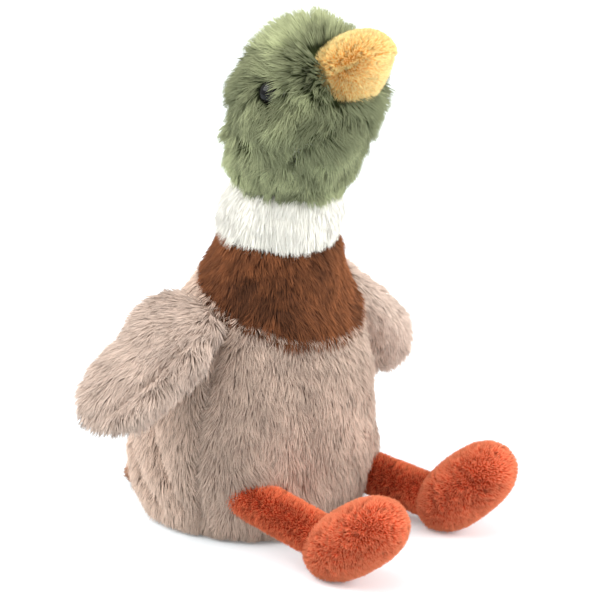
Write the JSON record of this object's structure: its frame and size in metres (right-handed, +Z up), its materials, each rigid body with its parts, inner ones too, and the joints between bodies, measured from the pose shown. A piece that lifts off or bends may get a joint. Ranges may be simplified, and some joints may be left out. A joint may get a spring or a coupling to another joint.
{
  "type": "plush rattle",
  "caption": "Seated plush duck with a rattle capsule in its stuffing, a head that turns and nods, wings that flap and hanging legs.",
  "frame": {"origin": "middle of the base panel, on the surface that the duck sits on", "axes": "+Z up, the beak points towards -Y, the duck's right side is -X"},
  "size_m": [0.1596, 0.155, 0.1911],
  "materials": {
    "taupe_plush": "long-pile plush, brushed down",
    "green_plush": "shaggy long-pile plush",
    "white_plush": "straight long-pile plush",
    "brown_plush": "medium-pile plush",
    "rust_plush": "short dense plush",
    "yellow_plush": "short dense plush",
    "pale_yellow_plush": "short dense plush",
    "polyester_fibre": "loose fibre fill",
    "black_plastic": "polished black",
    "washer_plastic": "plain moulded",
    "capsule_plastic": "smooth moulded",
    "bead_plastic": "smooth moulded"
  },
  "bodies": {
    "body": {"body_cover": "taupe_plush", "base_panel": "taupe_plush", "body_stuffing_lower": "polyester_fibre", "body_stuffing_upper": "polyester_fibre", "tail": "brown_plush", "neck_bib": "brown_plush", "neck_stuffing": "polyester_fibre", "rattle_capsule_bottom": "capsule_plastic", "rattle_capsule_top": "capsule_plastic"},
    "neck": {"neck_collar": "white_plush", "collar_stuffing": "polyester_fibre"},
    "head": {"head_cover": "green_plush", "head_stuffing": "polyester_fibre", "beak_upper": "yellow_plush", "beak_lower": "pale_yellow_plush", "eye_left": "black_plastic", "eye_right": "black_plastic", "eye_washer_left": "washer_plastic", "eye_washer_right": "washer_plastic"},
    "wing_left": {"wing_cover_left": "taupe_plush", "wing_stuffing_left": "polyester_fibre"},
    "wing_right": {"wing_cover_right": "taupe_plush", "wing_stuffing_right": "polyester_fibre"},
    "leg_left": {"leg_cover_left": "rust_plush", "leg_stuffing_left": "polyester_fibre"},
    "leg_right": {"leg_cover_right": "rust_plush", "leg_stuffing_right": "polyester_fibre"},
    "foot_left": {"foot_cover_left": "rust_plush", "foot_stuffing_left": "polyester_fibre"},
    "foot_right": {"foot_cover_right": "rust_plush", "foot_stuffing_right": "polyester_fibre"},
    "rattle_ball_1": {"rattle_ball_1": "bead_plastic"},
    "rattle_ball_2": {"rattle_ball_2": "bead_plastic"},
    "rattle_ball_3": {"rattle_ball_3": "bead_plastic"},
    "rattle_ball_4": {"rattle_ball_4": "bead_plastic"}
  },
  "joints": [
    {"name": "neck_turn", "type": "hinge", "parent": "body", "child": "neck", "pos_m": [0, -0.01612, 0.11382], "axis": [0, -0.225, 0.9744], "range_deg": [-30, 30], "stiffness_Nm_per_rad": 0.12},
    {"name": "head_nod", "type": "hinge", "parent": "neck", "child": "head", "pos_m": [0, -0.01916, 0.12698], "axis": [1, 0, 0], "range_deg": [-15, 15], "stiffness_Nm_per_rad": 0.4},
    {"name": "wing_left_flap", "type": "hinge", "parent": "body", "child": "wing_left", "pos_m": [0.03937, -0.00861, 0.08327], "axis": [0.0184, -0.9991, -0.0388], "range_deg": [-3, 80], "stiffness_Nm_per_rad": 0.04},
    {"name": "wing_right_flap", "type": "hinge", "parent": "body", "child": "wing_right", "pos_m": [-0.03937, -0.00861, 0.08327], "axis": [0.1331, 0.9505, 0.2809], "range_deg": [-25, 65], "stiffness_Nm_per_rad": 0.04},
    {"name": "hip_left", "type": "hinge", "parent": "body", "child": "leg_left", "pos_m": [0.03, -0.028, 0.0132], "axis": [-1, 0, 0], "range_deg": [-60, 50]},
    {"name": "hip_right", "type": "hinge", "parent": "body", "child": "leg_right", "pos_m": [-0.03, -0.028, 0.0188], "axis": [-0.9994, 0.0349, 0], "range_deg": [-60, 50]},
    {"name": "ankle_left", "type": "hinge", "parent": "leg_left", "child": "foot_left", "pos_m": [0.03, -0.06693, 0.01082], "axis": [-1, 0, 0], "range_deg": [-18, 18], "stiffness_Nm_per_rad": 0.03},
    {"name": "ankle_right", "type": "hinge", "parent": "leg_right", "child": "foot_right", "pos_m": [-0.03135, -0.06658, 0.01324], "axis": [-0.9994, 0.0349, 0], "range_deg": [-18, 18], "stiffness_Nm_per_rad": 0.03},
    {"name": "rattle_ball_1_rise", "type": "slide", "parent": "body", "child": "rattle_ball_1", "axis": [0, 0, 1], "range_m": [0, 0.0135]},
    {"name": "rattle_ball_2_rise", "type": "slide", "parent": "body", "child": "rattle_ball_2", "axis": [0, 0, 1], "range_m": [0, 0.0135]},
    {"name": "rattle_ball_3_rise", "type": "slide", "parent": "body", "child": "rattle_ball_3", "axis": [0, 0, 1], "range_m": [0, 0.0135]},
    {"name": "rattle_ball_4_rise", "type": "slide", "parent": "body", "child": "rattle_ball_4", "axis": [0, 0, 1], "range_m": [0, 0.0135]}
  ]
}
